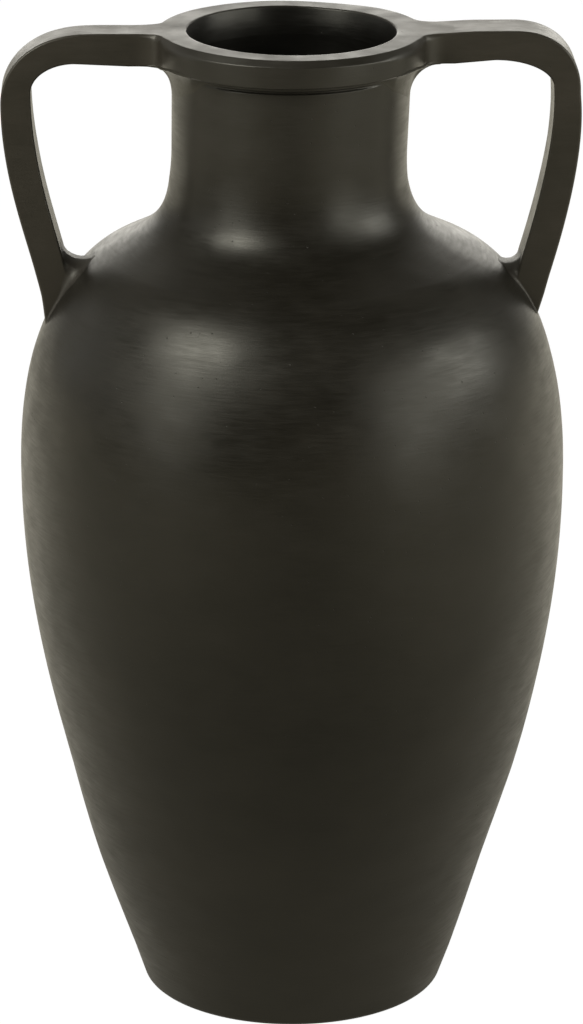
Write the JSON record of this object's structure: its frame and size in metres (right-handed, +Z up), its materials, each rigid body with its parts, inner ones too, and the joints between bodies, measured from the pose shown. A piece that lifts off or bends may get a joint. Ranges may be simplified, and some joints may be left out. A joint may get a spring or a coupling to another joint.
{
  "type": "two-handled vase",
  "caption": "Tall dark fired-clay floor vase of amphora shape, with a flat rim ring and an angular strap handle on each side, free-standing on a foot ring.",
  "frame": {"origin": "middle of the foot, on the ground", "axes": "+Z up the vase, X from the left handle to the right handle, front towards -Y"},
  "size_m": [0.344, 0.328, 0.6],
  "materials": {
    "clay_outside": "burnished dark fired clay, satin",
    "clay_luting": "burnished dark fired clay, satin, smoothed by hand",
    "clay_inside": "dark fired clay, unburnished"
  },
  "bodies": {
    "root": {"base_disc": "clay_outside", "lower_wall": "clay_outside", "upper_wall": "clay_outside", "neck": "clay_outside", "rim_ring": "clay_outside", "handle_left": "clay_outside", "handle_right": "clay_outside", "arm_luting_left": "clay_luting", "arm_luting_right": "clay_luting", "limb_luting_left": "clay_luting", "limb_luting_right": "clay_luting", "floor_joint_coil": "clay_inside", "belly_seam_coil": "clay_inside", "neck_seam_coil": "clay_inside"}
  },
  "joints": []
}
